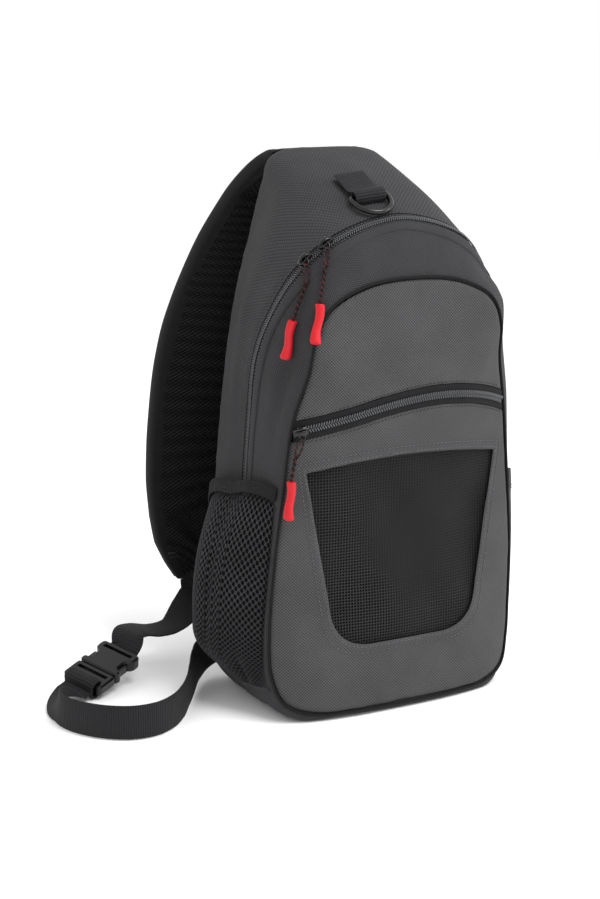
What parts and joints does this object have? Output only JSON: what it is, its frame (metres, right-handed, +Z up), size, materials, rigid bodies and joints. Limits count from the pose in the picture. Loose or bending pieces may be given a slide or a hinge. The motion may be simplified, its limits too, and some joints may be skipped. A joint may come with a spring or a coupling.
{
  "type": "fishing tackle sling bag",
  "caption": "Upright one-strap sling bag with a curved zip, a mesh-windowed front pocket, side pockets, a ring on top and a padded strap with a buckle.",
  "frame": {"origin": "on the base, on the centre line of the bag, below the middle of the main zip", "axes": "+Z up, +X to the right of someone who faces the front, front towards -Y"},
  "size_m": [0.3558, 0.2051, 0.402],
  "materials": {
    "black_metal": "gloss",
    "black_net": "mesh",
    "black_plastic": "moulded",
    "black_webbing": "ribbed webbing",
    "grey_cloth": "twill",
    "grey_net": "open mesh",
    "pull_cord": "braided cord",
    "red_rubber": "soft matt",
    "side_cloth": "twill",
    "zip_coil": "coil",
    "zip_tape": "woven tape"
  },
  "bodies": {
    "bag": {"front_shell": "side_cloth", "rear_shell": "side_cloth", "main_zip_tape": "zip_tape", "main_zip_coil": "zip_coil", "front_panel": "grey_cloth", "pocket_panel": "grey_cloth", "front_zip_tape": "zip_tape", "front_zip_coil": "zip_coil", "window_mesh": "black_net", "seam_piping": "zip_tape", "left_pocket": "grey_net", "left_pocket_band": "black_webbing", "right_pocket": "side_cloth", "strap_pad": "grey_cloth", "strap_lining": "black_net", "strap_binding_left": "black_webbing", "strap_binding_right": "black_webbing", "buckle_socket": "black_plastic", "buckle_plug": "black_plastic", "adjuster_wrap": "black_webbing", "upper_webbing": "black_webbing", "lower_webbing": "black_webbing", "ring_loop": "black_webbing", "main_a_slider": "black_metal", "main_a_pull_cord": "pull_cord", "main_a_pull_tip": "red_rubber", "main_b_slider": "black_metal", "main_b_pull_cord": "pull_cord", "main_b_pull_tip": "red_rubber", "front_slider": "black_metal", "front_pull_cord": "pull_cord", "front_pull_tip": "red_rubber"},
    "ring": {"d_ring": "black_plastic"}
  },
  "joints": [
    {"name": "ring_swing", "type": "hinge", "parent": "bag", "child": "ring", "pos_m": [-0.01393, -0.04195, 0.37094], "axis": [-0.993, 0.0546, -0.1046], "range_deg": [0, 110]}
  ]
}
